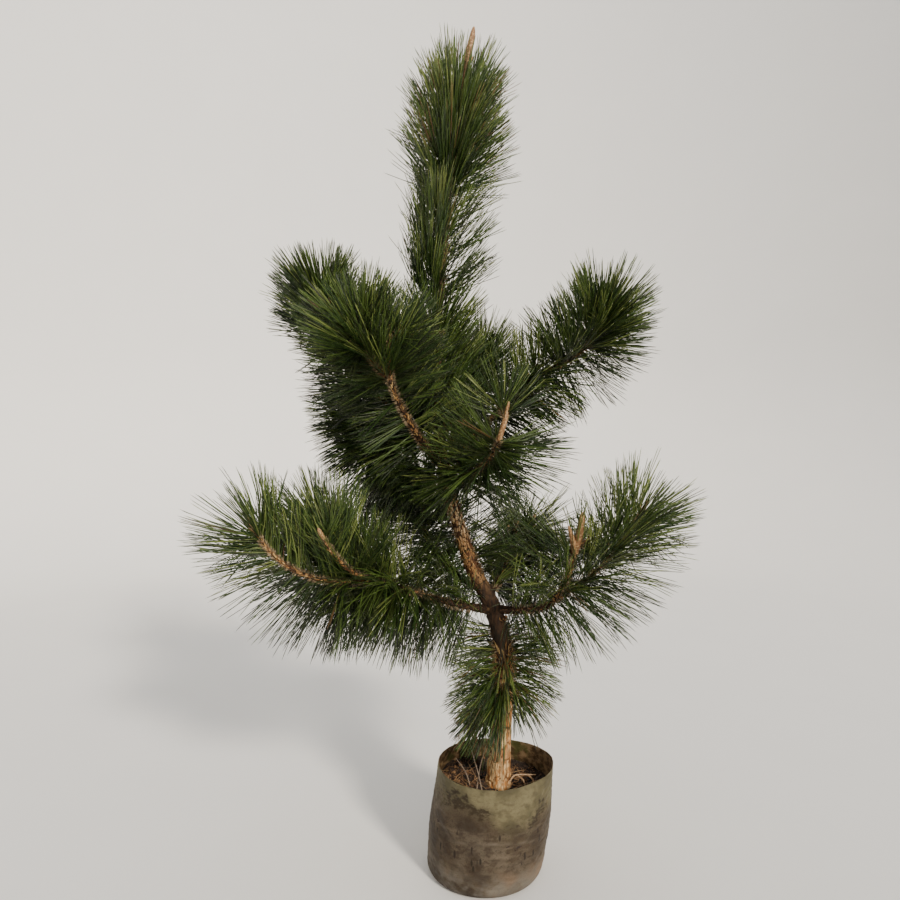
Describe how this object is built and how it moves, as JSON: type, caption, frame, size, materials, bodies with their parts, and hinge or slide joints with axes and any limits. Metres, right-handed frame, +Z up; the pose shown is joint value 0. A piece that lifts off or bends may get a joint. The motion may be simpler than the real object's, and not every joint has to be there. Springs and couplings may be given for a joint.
{
  "type": "potted japanese black pine",
  "caption": "Young Japanese black pine with a bent trunk, whorled boughs and tufts of long needles up to a tall leader, standing in a weathered soft planter bag filled with bark soil.",
  "frame": {"origin": "middle of the flat underside of the planter bag", "axes": "+Z up along the tree, +X to the right of the pictured view, +Y away from the viewer"},
  "size_m": [1.0119, 0.5572, 1.7553],
  "materials": {
    "bag_plastic": "weathered soft polythene, olive grey with a green film of algae, darker below the rim, creased and scuffed",
    "soil": "coarse brown bark mix with dry needles and crumbs",
    "bark": "flaky orange brown bark with pale plates, scaly towards the tips",
    "needles": "stiff needles in pairs, olive to mid green, yellower where the light falls"
  },
  "bodies": {
    "root": {"bough_back_left": "bark", "bough_back_right": "bark", "bough_far_left": "bark", "bough_low_back": "bark", "bough_low_left": "bark", "bough_low_right": "bark", "bough_mid_front": "bark", "bough_mid_left": "bark", "bough_right": "bark", "bough_upper_back": "bark", "bough_upper_left": "bark", "needles_back_left": "needles", "needles_back_right": "needles", "needles_far_left": "needles", "needles_leader_low": "needles", "needles_leader_middle": "needles", "needles_leader_top": "needles", "needles_low_back": "needles", "needles_low_left": "needles", "needles_low_right": "needles", "needles_mid_front": "needles", "needles_mid_left": "needles", "needles_right": "needles", "needles_trunk_middle": "needles", "needles_trunk_skirt": "needles", "needles_upper_back": "needles", "needles_upper_left": "needles", "planter_bag": "bag_plastic", "soil": "soil", "trunk": "bark"}
  },
  "joints": []
}
